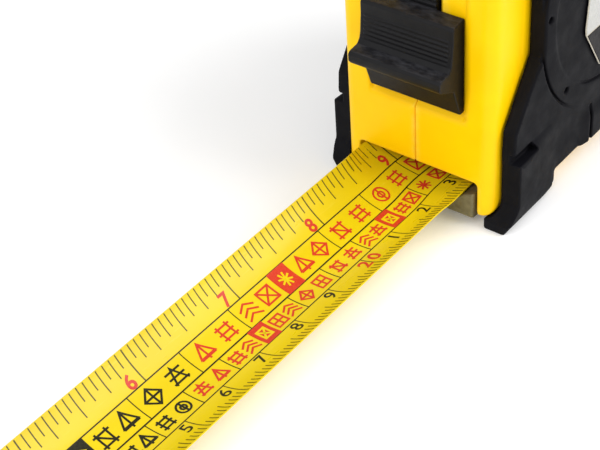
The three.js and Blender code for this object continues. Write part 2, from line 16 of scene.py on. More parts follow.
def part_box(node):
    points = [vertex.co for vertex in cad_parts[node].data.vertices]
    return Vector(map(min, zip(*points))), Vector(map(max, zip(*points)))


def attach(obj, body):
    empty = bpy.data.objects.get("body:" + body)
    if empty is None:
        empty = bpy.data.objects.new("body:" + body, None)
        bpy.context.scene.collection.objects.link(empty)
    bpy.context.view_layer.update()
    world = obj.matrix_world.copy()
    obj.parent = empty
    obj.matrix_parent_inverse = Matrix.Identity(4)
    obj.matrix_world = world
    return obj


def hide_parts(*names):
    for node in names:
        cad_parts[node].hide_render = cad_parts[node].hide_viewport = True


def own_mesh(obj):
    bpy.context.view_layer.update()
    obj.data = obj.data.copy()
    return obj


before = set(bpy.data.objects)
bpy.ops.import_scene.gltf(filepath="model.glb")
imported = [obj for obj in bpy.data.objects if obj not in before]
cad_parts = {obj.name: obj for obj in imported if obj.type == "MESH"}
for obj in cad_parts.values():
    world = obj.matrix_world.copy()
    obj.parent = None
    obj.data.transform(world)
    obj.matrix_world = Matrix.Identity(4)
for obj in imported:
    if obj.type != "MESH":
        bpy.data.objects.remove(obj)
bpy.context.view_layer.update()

MM = 0.001
rng = np.random.default_rng(7)


def node_box(node):
    low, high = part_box(node)
    return np.array(low) / MM, np.array(high) / MM


# ------------------------------------------------------------------ driving dimensions (mm)

FRONT_X, REAR_X = -35.0, 35.0
HALF_W = 17.3
EDGE_R = 3.0
TOP_Z = 74.2
CORNER_R = {"toe": 4.2, "nose": 18.0, "heel": 12.0, "back": 34.0}
WALL = 2.8
CAVITY_HALF_W = 14.9
FRONT_WALL = 4.4
PARTING = (0.385, 0.415)  # where the badge side's half ends and the clip side's begins
REEL = (1.0, 40.2)

MOUTH_HALF_W = 13.7
MOUTH_TOP = 10.1
MOUTH_DEPTH = 9.4
LEG_Z = 2.6
LEG_CORNER_R = 2.8
POCKET_HALF_W = 10.6
POCKET_FLOOR_X = FRONT_X + 1.3
POCKET_Z = 22.9
SLOT_HALF_W = 4.7
SLOT_Z = (30.0, 55.3)

GRIP_Y = 20.5
FOOT_Y = 21.9
RECESS_R = 21.2
RECESS_Y = 21.3
FOOT_INSET = 0.2
FOOT_LENGTH = 18.0
FOOT_TOE = 2.4
FOOT_TOP_Z = 17.4
FOOT_INNER_Y = 15.2
FEET = ((FRONT_X + FOOT_INSET, 1), (REAR_X - FOOT_INSET, -1))  # outer end, way inwards
HOLES = 7
HOLE_R = 0.7
HOLE_RING_R = 23.5
FIRST_HOLE = math.radians(175)
SCREWS = ((-21.0, 63.5), (-26.2, 24.2), (25.0, 11.0))

BLADE_W = 25.0
BLADE_T = 0.2
INK_T = 0.03
RULE_W = 0.18
MARK_W = 0.4
DIGIT_SHARE = 0.73  # of the font's size, the height of its digits
BLADE_Z = 5.1
TIP_X = node_box("end_hook")[1][0] - 14.5
LEAD_X = -16.0
HOOKED = 16.0
BLADE_ARC_R = 15.8
SLOPE_AT_MOUTH, SLOPE_OUTSIDE = 0.09, 0.162  # sideways lean of the free blade, in radians
ASIDE, ASIDE_AT_MOUTH = 0.7, 0.6  # how far it lies off the middle, and how much more in the mouth
MOUTH_ARC_R = 24.0  # its curve where the mouth presses it flatter
PRESSED_LENGTH = 9.0  # outside the mouth, until it has its full curve
LEANING_LENGTH, LEVELLING_LENGTH = 100.0, 80.0  # outside the mouth, and then until it is level
INNER_LENGTH = 18.0  # inside the mouth, until it is level and in the middle


# ------------------------------------------------------------------ signed-distance toolkit

def sample_grid(low, high, step):
    """Sample points around a box, as three sparse arrays, with a margin of three steps."""
    axes = [np.arange(a - 3 * step, b + 4 * step, step) for a, b in zip(low, high)]
    return np.meshgrid(*axes, indexing="ij", sparse=True)


def meet(a, b, r=0.0):
    """What is inside both fields, the edge between them rounded by r."""
    if r == 0:
        return np.maximum(a, b)
    outside = np.hypot(np.maximum(a + r, 0), np.maximum(b + r, 0))
    return np.minimum(np.maximum(a, b), -r) + outside


def join(a, b, r):
    """What is inside either field, the corner between them filled by r."""
    return -meet(-a, -b, r)


def less(a, b, r=0.0):
    """What is inside a and outside b."""
    return meet(a, -b, r)


def eased(t):
    """Rises smoothly from 0 at t = 0 to 1 at t = 1, and stays level outside them."""
    t = np.clip(t, 0, 1)
    return t * t * (3 - 2 * t)


def slab(v, low, high):
    """Negative between low and high."""
    return np.maximum(low - v, v - high)


def disc(u, v, centre, r):
    return np.hypot(u - centre[0], v - centre[1]) - r


def round_box(u, v, low, high, radii):
    """A rectangle; radii are for its corners (low u, low v), (low, high), (high, low), (high, high)."""
    half = (np.array(high) - low) / 2
    pu, pv = u - (low[0] + half[0]), v - (low[1] + half[1])
    r = np.where(pu < 0, np.where(pv < 0, radii[0], radii[1]), np.where(pv < 0, radii[2], radii[3]))
    qu, qv = np.abs(pu) - half[0] + r, np.abs(pv) - half[1] + r
    return np.hypot(np.maximum(qu, 0), np.maximum(qv, 0)) + np.minimum(np.maximum(qu, qv), 0) - r


def filleted(points, r):
    """The outline with each corner replaced by an arc-like curve of about radius r."""
    result = []
    count = len(points)
    for i, p in enumerate(points):
        p = np.array(p, float)
        a, b = np.array(points[i - 1], float) - p, np.array(points[(i + 1) % count], float) - p
        la, lb = np.linalg.norm(a), np.linalg.norm(b)
        turn = math.acos(np.clip(np.dot(a, b) / (la * lb), -1, 1))
        trim = min(r / max(math.tan(turn / 2), 1e-3), 0.45 * la, 0.45 * lb)
        start, end = p + a / la * trim, p + b / lb * trim
        for t in np.linspace(0, 1, 5):
            result.append((1 - t) ** 2 * start + 2 * t * (1 - t) * p + t * t * end)
    return result


def polygon(u, v, points):
    """Signed distance to a closed outline."""
    nearest = np.full(np.broadcast(u, v).shape, np.inf)
    sign = np.ones(nearest.shape)
    for a, b in zip(points, [*points[1:], points[0]]):
        eu, ev = b[0] - a[0], b[1] - a[1]
        wu, wv = u - a[0], v - a[1]
        t = np.clip((wu * eu + wv * ev) / (eu * eu + ev * ev + 1e-12), 0, 1)
        nearest = np.minimum(nearest, (wu - eu * t) ** 2 + (wv - ev * t) ** 2)
        above, below, left = v >= a[1], v < b[1], eu * wv > ev * wu
        sign = np.where((above & below & left) | (~above & ~below & ~left), -sign, sign)
    return sign * np.sqrt(nearest)


def sampled(field, places):
    """The field at places given in grid steps, read between its samples."""
    corner = np.clip(np.floor(places).astype(int), 0, np.array(field.shape) - 2)
    part = places - corner
    total = 0.0
    for bits in np.ndindex(2, 2, 2):
        weight = np.prod(np.where(bits, part, 1 - part), axis=1)
        i, j, k = (corner + bits).T
        total = total + weight * field[i, j, k]
    return total


def moulded(name, field, grid, step, adaptivity=0.02):
    """A mesh object of the surface where field is zero, with normals from the field's slope."""
    volume = openvdb.FloatGrid(background=4 * step)
    volume.copyFromArray(np.clip(field, -4 * step, 4 * step).astype(np.float32))
    points, triangles, quads = volume.convertToPolygons(isovalue=0.0, adaptivity=adaptivity)
    points = points.astype(float)
    reach = 0.5 * np.eye(3)

    def slope(places):
        return np.stack([sampled(field, places + d) - sampled(field, places - d) for d in reach], 1)

    for _ in range(2):
        g = slope(points)
        size = np.maximum((g * g).sum(1), 1e-9)
        pull = np.clip(sampled(field, points) / size, -0.3, 0.3)
        points -= g * pull[:, None]
    normals = slope(points)
    normals /= np.maximum(np.linalg.norm(normals, axis=1), 1e-9)[:, None]
    origin = np.array([axis.flat[0] for axis in grid])
    faces = [tuple(f) for f in triangles] + [tuple(f) for f in quads]
    a, b, c = (points[[f[k] for f in faces]] for k in range(3))
    outward = (np.cross(b - a, c - a) * normals[[f[0] for f in faces]]).sum()
    if outward < 0:
        faces = [f[::-1] for f in faces]
    mesh = bpy.data.meshes.new(name)
    mesh.from_pydata(((points * step + origin) * MM).tolist(), [], faces)
    mesh.validate()
    mesh.polygons.foreach_set("use_smooth", [True] * len(mesh.polygons))
    mesh.normals_split_custom_set_from_vertices(normals.tolist())
    return placed(name, mesh)


# ------------------------------------------------------------------ mesh toolkit

def placed(name, mesh):
    piece = bpy.data.objects.new(name, mesh)
    bpy.context.scene.collection.objects.link(piece)
    return piece


def from_bmesh(name, bm):
    bmesh.ops.recalc_face_normals(bm, faces=bm.faces)
    mesh = bpy.data.meshes.new(name)
    bm.to_mesh(mesh)
    bm.free()
    mesh.polygons.foreach_set("use_smooth", [True] * len(mesh.polygons))
    mesh.set_sharp_from_angle(angle=math.radians(35))
    return placed(name, mesh)


def ring_points(r, count=16, phase=0.0):
    """Points spaced evenly around a circle."""
    angles = [phase + math.tau * k / count for k in range(count)]
    return [(r * math.cos(a), r * math.sin(a)) for a in angles]


def looped_grid(bm, rows):
    """Faces between rows of vertices; rows are closed loops, and the two ends are capped."""
    made = [[bm.verts.new(p) for p in row] for row in rows]
    for one, two in zip(made, made[1:]):
        for j in range(len(one)):
            k = (j + 1) % len(one)
            bm.faces.new((one[j], one[k], two[k], two[j]))
    bm.faces.new(made[0])
    bm.faces.new(made[-1][::-1])


def finish_piece(piece, body, slot, material, *nodes):
    piece.data.materials.clear()
    piece.data.materials.append(material)
    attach(piece, body)
    if nodes:
        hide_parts(*nodes)


# ------------------------------------------------------------------ materials

def srgb(code):
    """A hex colour such as ffd20a as linear RGBA."""
    parts = [int(code[i:i + 2], 16) / 255 for i in (0, 2, 4)]
    return tuple(c / 12.92 if c <= 0.04045 else ((c + 0.055) / 1.055) ** 2.4 for c in parts) + (1.0,)


class Surface:
    """Builds one procedural material. Sizes are in millimetres on the object."""

    def __init__(self, name, **sockets):
        self.material = bpy.data.materials.new(name)
        self.material.use_nodes = True
        self.tree = self.material.node_tree
        self.shader = self.tree.nodes["Principled BSDF"]
        for socket, value in sockets.items():
            self.shader.inputs[socket.replace("_", " ")].default_value = value
        self.place = self.tree.nodes.new("ShaderNodeTexCoord").outputs["Object"]
        self.normal = None

    def feed(self, socket, value):
        """Links another node's output to a socket, or sets a plain value on it."""
        if isinstance(value, bpy.types.NodeSocket):
            self.tree.links.new(value, socket)
        else:
            socket.default_value = value

    def node(self, kind, **inputs):
        made = self.tree.nodes.new("ShaderNode" + kind)
        for socket, value in inputs.items():
            self.feed(made.inputs[socket.replace("_", " ")], value)
        return made

    def noise(self, size, detail=3.0, stretch=(1, 1, 1), rough=0.55):
        """Noise whose features are about size mm, longer along the axes that stretch names."""
        scale = tuple(1 / (size * MM * s) for s in stretch)
        spread = self.node("Mapping", Vector=self.place, Scale=scale)
        return self.node("TexNoise", Vector=spread.outputs[0], Scale=1.0, Detail=detail,
                         Roughness=rough).outputs["Fac"]

    def ramp(self, value, low, high, out_low=0.0, out_high=1.0):
        """The value taken from low..high to out_low..out_high, and held at the two ends."""
        made = self.node("MapRange", Value=value, From_Min=low, From_Max=high, To_Min=out_low,
                         To_Max=out_high)
        return made.outputs["Result"]

    def product(self, one, two):
        made = self.node("Math", Value=one)
        made.operation = "MULTIPLY"
        self.feed(made.inputs[1], two)
        return made.outputs[0]

    def blend(self, factor, one, two):
        made = self.tree.nodes.new("ShaderNodeMix")
        made.data_type = "RGBA"
        for socket, value in (("Factor_Float", factor), ("A_Color", one), ("B_Color", two)):
            self.feed(next(s for s in made.inputs if s.identifier == socket), value)
        return next(s for s in made.outputs if s.identifier == "Result_Color")

    def colour(self, value):
        self.tree.links.new(value, self.shader.inputs["Base Color"])

    def roughness(self, value):
        self.tree.links.new(value, self.shader.inputs["Roughness"])

    def bump(self, height, depth):
        """Adds relief of about depth mm, on top of the relief already there."""
        made = self.node("Bump", Height=height, Strength=1.0, Distance=depth * MM)
        if self.normal:
            self.tree.links.new(self.normal, made.inputs["Normal"])
        self.normal = made.outputs["Normal"]
        self.tree.links.new(self.normal, self.shader.inputs["Normal"])

    def upward(self, low, high):
        """1 on faces that look up, 0 on the others."""
        geometry = self.tree.nodes.new("ShaderNodeNewGeometry")
        split = self.node("SeparateXYZ", Vector=geometry.outputs["Normal"])
        return self.ramp(split.outputs["Z"], low, high)

    def edges(self, low=0.52, high=0.6):
        """1 on the piece's worn outer edges, 0 on its faces."""
        geometry = self.tree.nodes.new("ShaderNodeNewGeometry")
        return self.ramp(geometry.outputs["Pointiness"], low, high)


def moulded_plastic(name, base, deep, roughness, grain, grain_depth, worn=None, dust_and_sheen=None, **sockets):
    """Moulded plastic: faint flow mottling, spark-eroded grain, worn edges, and upward faces lightened in
    noisy patches, partly dust and partly a painted highlight from the overhead light.
    """
    s = Surface(name, **sockets)
    mottle = s.ramp(s.noise(9.0), 0.3, 0.7)
    tint = s.blend(mottle, srgb(base), srgb(deep))
    if worn:
        patches = s.ramp(s.noise(2.2, 4.0), 0.35, 0.7, 0.1, 0.7)
        tint = s.blend(s.product(s.edges(), patches), tint, srgb(worn))
    if dust_and_sheen:
        # Painted highlight mixed with dust: faces that look up are lightened in noisy patches, as if lit
        # from above.
        patches = s.ramp(s.noise(0.9, 6.0, (1, 3, 1), 0.65), 0.4, 0.72, 0.05, 0.4)
        tint = s.blend(s.product(s.upward(0.75, 0.98), patches), tint, srgb(dust_and_sheen))
    s.colour(tint)
    s.roughness(s.ramp(s.noise(3.0, 5.0), 0.25, 0.75, roughness * 0.85, roughness * 1.15))
    s.bump(s.noise(grain, 2.0), grain_depth)
    return s.material


def rubber(name, base, deep, dust_and_sheen):
    """Moulded rubber: fine pebble grain, pale dust held in it, and a slight sheen on rubbed edges."""
    s = Surface(name, Specular_IOR_Level=0.09)
    tint = s.blend(s.ramp(s.noise(7.0), 0.3, 0.7), srgb(base), srgb(deep))
    specks = s.ramp(s.noise(0.55, 6.0, rough=0.7), 0.62, 0.8, 0.0, 0.3)
    tint = s.blend(specks, tint, srgb(dust_and_sheen))
    s.colour(s.blend(s.product(s.edges(0.53, 0.62), 0.08), tint, srgb(dust_and_sheen)))
    s.roughness(s.ramp(s.noise(4.0, 4.0), 0.3, 0.7, 0.55, 0.72))
    s.bump(s.noise(0.28, 2.0), 0.02)
    s.bump(s.noise(5.0, 2.0), 0.03)
    return s.material


def brushed_metal(name, base, deep, along=(12, 1, 1), roughness=0.3, size=0.12):
    """Rolled metal with fine drawn lines, a few scratches and slightly dulled patches."""
    s = Surface(name, Metallic=1.0)
    lines = s.noise(size, 3.0, along)
    tint = s.blend(s.ramp(lines, 0.35, 0.65), srgb(base), srgb(deep))
    patches = s.ramp(s.noise(3.5, 4.0), 0.45, 0.75, 0.0, 0.35)
    s.colour(s.blend(patches, tint, srgb(deep)))
    s.roughness(s.ramp(s.noise(1.4, 5.0), 0.3, 0.7, roughness * 0.8, roughness * 1.35))
    s.bump(lines, 0.006)
    s.bump(s.ramp(s.noise(0.5, 6.0, (9, 1, 1)), 0.6, 0.75), 0.01)
    return s.material


def lacquer(name, base, deep, chip):
    """Lacquered spring steel, chipped to bare metal on its edges."""
    s = Surface(name, Coat_Weight=0.3, Coat_Roughness=0.2)
    tint = s.blend(s.ramp(s.noise(4.0), 0.3, 0.7), srgb(base), srgb(deep))
    chips = s.product(s.edges(0.55, 0.66), s.ramp(s.noise(0.7, 5.0), 0.48, 0.6))
    s.colour(s.blend(chips, tint, srgb(chip)))
    s.roughness(s.ramp(s.noise(1.2, 4.0), 0.3, 0.7, 0.28, 0.455))
    s.bump(s.noise(0.5, 2.0), 0.01)
    return s.material


def blade_lacquer(name, base, deep, scuff):
    """Yellow lacquer under a clear coat: rolling lines along the blade and faint handling scuffs."""
    s = Surface(name, Coat_Weight=0.14, Coat_Roughness=0.14, Specular_IOR_Level=0.2)
    tint = s.blend(s.ramp(s.noise(14.0, 3.0, (2, 1, 1)), 0.3, 0.7), srgb(base), srgb(deep))
    scuffs = s.ramp(s.noise(0.5, 6.0, (16, 1, 1)), 0.62, 0.82, 0.0, 0.25)
    s.colour(s.blend(scuffs, tint, srgb(scuff)))
    s.roughness(s.ramp(s.noise(2.5, 4.0, (4, 1, 1)), 0.3, 0.7, 0.26, 0.38))
    s.bump(s.noise(0.7, 2.0, (10, 1, 1)), 0.004)
    return s.material


def ink(name, base, deep):
    """Printed ink: slightly uneven cover, and the same clear coat as the blade."""
    s = Surface(name, Coat_Weight=0.14, Coat_Roughness=0.15, Specular_IOR_Level=0.2)
    s.colour(s.blend(s.ramp(s.noise(0.35, 4.0), 0.42, 0.72, 0.0, 0.6), srgb(base), srgb(deep)))
    s.roughness(s.ramp(s.noise(0.8, 3.0), 0.3, 0.7, 0.32, 0.46))
    s.bump(s.noise(0.2, 2.0), 0.004)
    return s.material


YELLOW = moulded_plastic("yellow_abs", "ffcf00", "ffc800", 0.4, 0.9, 0.006, "ffe36a",
                         Specular_IOR_Level=0.14)
RUBBER = rubber("black_rubber", "0c0c11", "08080c", "2e2e35")
# The black plastic's pale upward patches are partly dust and partly a painted highlight on the slider's
# ledge top.
BLACK = moulded_plastic("black_plastic", "0e0e11", "0a0a0d", 0.5, 0.3, 0.015, "26262a",
                        dust_and_sheen="5c5c62", Specular_IOR_Level=0.2)
GREY = moulded_plastic("grey_plastic", "6d7074", "606367", 0.5, 0.5, 0.01, "9a9da0")
WHITE = moulded_plastic("white_plastic", "e8e6df", "dcd9cf", 0.5, 0.5, 0.01, "f6f5f0")
BLADE = blade_lacquer("blade_lacquer", "e4ca11", "dabf0b", "ecdc62")
INK_BLACK = ink("ink_black", "1c1b0c", "3a3719")
INK_OLIVE = ink("ink_olive", "4d4412", "6b5f18")
INK_RED = ink("ink_red", "c8321c", "d65030")
STEEL = brushed_metal("bright_steel", "b4b4b1", "8e8e8b")
WEAR = brushed_metal("wear_steel", "8c8568", "7b7458", (1, 3, 1), 0.6, 1.5)
CLIP = lacquer("clip_lacquer", "26272a", "1d1e21", "8d8f93")
SILVER = brushed_metal("badge_silver", "c9c9c6", "b6b6b2", (1, 1, 10), 0.3, 0.1)
BORDER = moulded_plastic("badge_border", "cdc6b6", "bcb4a2", 0.45, 0.4, 0.006)
FIELD = moulded_plastic("badge_field", "171314", "0f0c0d", 0.6, 0.5, 0.06, Specular_IOR_Level=0.25)


# ------------------------------------------------------------------ case

def case_outline(x, z):
    radii = [CORNER_R[k] for k in ("toe", "nose", "heel", "back")]
    return round_box(x, z, (FRONT_X, 0), (REAR_X, TOP_Z), radii)


def leg_outline(side, z):
    """A leg seen from the front, with its lower outer corner rounded."""
    return round_box(side, z, (-40, LEG_Z), (HALF_W, 200), (0.4, 0.4, LEG_CORNER_R, 0.4))


def case_field(x, y, z):
    """The whole yellow case before it is parted."""
    side = np.abs(y)
    outline = case_outline(x, z)
    body = meet(outline, side - HALF_W, EDGE_R)

    pocket = meet(side - POCKET_HALF_W, x - POCKET_FLOOR_X, 0.6)
    pocket = meet(pocket, (POCKET_Z - z) + 0.7 * (x - FRONT_X), 0.6)
    body = less(body, pocket, 0.7)
    slot = meet(side - SLOT_HALF_W, slab(z, *SLOT_Z))
    body = less(body, meet(slot, x - (FRONT_X + FRONT_WALL + 1)), 0.3)

    legs = leg_outline(side, z)
    body = meet(body, np.minimum(legs, FRONT_X + MOUTH_DEPTH - x), 0.5)
    mouth = meet(side - MOUTH_HALF_W, z - MOUTH_TOP, 0.9)
    body = less(body, meet(mouth, x - (FRONT_X + MOUTH_DEPTH)), 0.35)
    throat = meet(mouth, WALL - z)
    body = less(body, meet(throat, x - (FRONT_X + MOUTH_DEPTH + 6)))
    for end, way in FEET:
        wrap = meet(FOOT_INNER_Y - 0.3 - side, -legs)
        body = less(body, meet(wrap, way * (x - end) - FOOT_LENGTH - 0.3), 0.3)

    room = meet(outline + WALL, side - CAVITY_HALF_W)
    room = meet(room, FRONT_X + FRONT_WALL - x)
    for screw in SCREWS:
        room = less(room, disc(x, z, screw, 2.2), 0.4)
    body = less(body, room)
    for screw in SCREWS:
        body = less(body, meet(disc(x, z, screw, 1.5), -13 - y))
        body = less(body, meet(disc(x, z, screw, 2.7), 15.9 - y), 0.2)
    body = less(body, meet(disc(x, z, REEL, 3.8), side - 16))
    body = less(body, meet(disc(x, z, REEL, 3.4), y + 16.6))
    return body


def build_case():
    step = 0.3
    halves = (("case_badge_half", "case_half_badge_side", -1, PARTING[0]),
              ("case_clip_half", "case_half_clip_side", 1, PARTING[1]))
    for name, node, side, cut in halves:
        low, high = sorted((side * HALF_W, cut))
        grid = sample_grid((FRONT_X, low, 0), (REAR_X, high, TOP_Z), step)
        x, y, z = grid
        field = meet(case_field(x, y, z), side * (cut - y), 0.15)
        finish_piece(moulded(name, field, grid, step), "case", "yellow_abs", YELLOW, node)


# ------------------------------------------------------------------ rubber grips

GRIP_FRONT = FRONT_X + 11.2
GRIP_FLARE = [(GRIP_FRONT, 34.8), (-32.3, 22.4), (-32.6, 18.6), (-32.2, 5.2), (0.0, 5.0), (0.0, 34.8)]
SLANT = [(-33.5, 17.7), (-33.5, 15.6), (-24.8, 15.2), (-26.6, 17.7)]
PAD = ((-8.0, 4.8), (16.5, 14.2))
PAD_Y = 21.2
PAD_GROOVES = [-4.4, 0.4, 5.2, 10.0]
GROOVE_W, GROOVE_TOP_Z = 0.9, 13.5
CROWN = 0.83  # rise of the middle, between the two radii below
CROWN_OUTER_R, CROWN_INNER_R = 30.0, 21.3
RING_CENTRE = (2.1, 39.9)  # of the groove around the crowned middle
RING_R = 26.5
RING_DEPTH = 0.8


def foot_field(reach, t, z):
    """A foot; reach is the distance inwards from its toe. It thins down until level with the grip."""
    section = polygon(t, z, filleted([
        (FOOT_INNER_Y, 0), (FOOT_Y - 2.2, 0), (FOOT_Y - 0.7, 2.5), (FOOT_Y, 5.2),
        (FOOT_Y, FOOT_TOP_Z - 2.2), (GRIP_Y + 0.1, FOOT_TOP_Z), (FOOT_INNER_Y, FOOT_TOP_Z),
    ], 0.5))
    profile = polygon(reach, z, filleted([
        (0, -3), (0, 2.3), (FOOT_TOE, 6.2), (FOOT_TOE, 30), (FOOT_LENGTH, 30), (FOOT_LENGTH, 3),
        (FOOT_LENGTH - 1, 1.4), (FOOT_LENGTH - 5.5, 0.1), (FOOT_LENGTH - 5.8, -3),
    ], 0.8))
    outer = FOOT_Y + (GRIP_Y - FOOT_Y) * np.clip((reach - FOOT_TOE) / (FOOT_LENGTH - FOOT_TOE), 0, 1)
    return meet(meet(section, profile, 0.3), t - outer, 0.5)


def grip_field(x, t, z):
    """One rubber grip; t is the distance from the case's middle plane."""
    from_reel = np.hypot(x - REEL[0], z - REEL[1])
    sheet = round_box(x, z, (GRIP_FRONT, 5), (30.8, 70), (0.4, 11.5, 7.8, 29.8))
    sheet = np.minimum(sheet, polygon(x, z, filleted(GRIP_FLARE, 1.5)))
    rise = CROWN * eased((CROWN_OUTER_R - from_reel) / (CROWN_OUTER_R - CROWN_INNER_R))
    face = t - GRIP_Y - rise
    body = meet(sheet, face, 0.5)
    depth = RING_DEPTH * eased((-11 - x) / 6)
    ring = np.abs(disc(x, z, RING_CENTRE, RING_R)) - 0.3
    body = less(body, np.maximum(ring, -depth - face), 0.1)
    pad_rise = np.clip((x - PAD[0][0]) / 3, 0, 1) * eased((PAD[1][1] - z) / 4)
    pad_top = GRIP_Y + (PAD_Y - GRIP_Y) * pad_rise
    body = join(body, meet(round_box(x, z, *PAD, (1.5, 1, 1, 1.5)), t - pad_top, 0.4), 0.3)
    for end, way in FEET:
        body = join(body, foot_field(way * (x - end), t, z), 0.3)
    body = np.maximum(body, np.maximum(FOOT_INNER_Y - t, 0.3 - leg_outline(t, z)))
    for near in PAD_GROOVES:
        groove = round_box(x, z, (near, 3), (near + GROOVE_W, GROOVE_TOP_Z), (0.3,) * 4)
        cut = meet(groove, GRIP_Y - 0.2 - t, 0.2)
        body = less(body, cut, 0.2)
    slant = meet(polygon(x, z, filleted(SLANT, 0.4)), GRIP_Y - 1.1 - t, 0.1)
    body = less(body, slant, 0.12)
    for u, v in ring_points(HOLE_RING_R, HOLES, FIRST_HOLE):
        hole = disc(x, z, (REEL[0] + u, REEL[1] + v), HOLE_R)
        body = less(body, meet(hole, GRIP_Y - 0.1 - t, 0.2), 0.25)
    return body


def build_grips():
    step = 0.25
    grips = (("rubber_badge_side", "grip_badge_side", -1), ("rubber_clip_side", "grip_clip_side", 1))
    for name, node, side in grips:
        grid = sample_grid(*node_box(node), step)
        x, y, z = grid
        t = side * y
        body = grip_field(x, t, z)
        if side < 0:
            body = less(body, meet(disc(x, z, REEL, RECESS_R), RECESS_Y - t, 0.3), 0.8)
            edge = np.abs(disc(x, z, REEL, RECESS_R)) - 0.25
            body = less(body, np.maximum(edge, RECESS_Y - 0.6 * eased((24 - z) / 4) - t), 0.1)
        else:
            seat = round_box(x, z, (REEL[0] - 8.6, REEL[1] - 8.6), (REEL[0] + 8.6, REEL[1] + 12), (1,) * 4)
            body = less(body, meet(seat, RECESS_Y - t, 0.2), 0.3)
            body = less(body, disc(x, z, REEL, 2.2), 0.2)
            for screw in SCREWS:
                body = less(body, disc(x, z, screw, 2.7), 0.4)
        finish_piece(moulded(name, body, grid, step), "case", "black_rubber", RUBBER, node)


# ------------------------------------------------------------------ lock slider

RIBS, RIB_PITCH, RIB_R = 6, 0.92, 0.27
FIRST_RIB_Z = 37.2
SLIDER_HALF_W = 10.2
STEM_HALF_W = 4.3
STEM_RIBS, STEM_RIB_PITCH, STEM_RIB_H = 3, 1.1, 0.6


def build_slider():
    step = 0.13
    grid = sample_grid(*node_box("lock_slider"), step)
    x, y, z = grid
    side = np.abs(y)
    f, back, base, top = FRONT_X, FRONT_X + 1.0, 25.0, 45.2
    profile = filleted([
        (back, base), (back, top), (f - 2.4, top - 0.4), (f - 2.9, top - 0.9), (f - 2.9, 42),
        (f - 3.3, 38), (f - 3.6, 36.9), (f - 4.3, 36.1), (f - 6.8, 35.8), (f - 7.3, 35.3),
        (f - 7.3, 33.9), (f - 6.8, 33.2), (f - 2.6, 31.2), (f - 0.4, base),
    ], 0.3)
    body = meet(polygon(x, z, profile), side - SLIDER_HALF_W, 0.25)
    for k in range(RIBS):
        rib = disc(x, z, (f - 3.3 + 0.1 * k, FIRST_RIB_Z + RIB_PITCH * k), RIB_R)
        body = join(body, meet(rib, side - SLIDER_HALF_W + 0.9, 0.2), 0.15)
    stem = meet(side - STEM_HALF_W, slab(z, 31, 48.5), 0.3)
    stem = meet(stem, slab(x, back - 0.2, f + FRONT_WALL + 0.2), 0.3)
    body = join(body, stem, 0.1)
    for k in range(STEM_RIBS):
        level = top + 0.5 + STEM_RIB_PITCH * k
        rib = meet(slab(z, level, level + STEM_RIB_H), slab(x, back - 0.5, back + 1), 0.15)
        body = join(body, meet(rib, side - STEM_HALF_W, 0.2), 0.1)
    slider = moulded("thumb_slider", body, grid, step)
    finish_piece(slider, "lock", "black_plastic", BLACK, "lock_slider")


# ------------------------------------------------------------------ blade and print

def blade_point(x, s, lift=0.0):
    """A point on the blade's upper face: x from the hook, s from the inch edge, lift above it.

    Outside the mouth the free blade leans to one side and lies a little off the middle; in the
    mouth it is pressed flatter, and it is level again at the hook.
    """
    out = FRONT_X - (TIP_X + x)
    unguided = eased(1 + out / INNER_LENGTH)
    pressed = (1 - eased(out / PRESSED_LENGTH)) * unguided
    astray = (1 - eased((out - LEANING_LENGTH) / LEVELLING_LENGTH)) * unguided
    lean = SLOPE_OUTSIDE * astray + (SLOPE_AT_MOUTH - SLOPE_OUTSIDE) * pressed
    curve_r = BLADE_ARC_R + (MOUTH_ARC_R - BLADE_ARC_R) * pressed
    angle = (BLADE_W / 2 - s) / curve_r
    r = curve_r - BLADE_T - lift
    y, z = r * math.sin(angle), curve_r - r * math.cos(angle)
    y, z = y * math.cos(lean) - z * math.sin(lean), y * math.sin(lean) + z * math.cos(lean)
    y += ASIDE * astray + ASIDE_AT_MOUTH * pressed
    return Vector((TIP_X + x, y, BLADE_Z + 0.08 * astray + z)) * MM


def blade_strip(name, stations):
    """The steel strip through a row of distances from the hook."""
    across = np.linspace(0, BLADE_W, 33)
    rows = []
    for x in stations:
        top = [blade_point(x, s) for s in across]
        under = [blade_point(x, s, -BLADE_T) for s in across[::-1]]
        rows.append(top + under)
    bm = bmesh.new()
    looped_grid(bm, rows)
    return from_bmesh(name, bm)


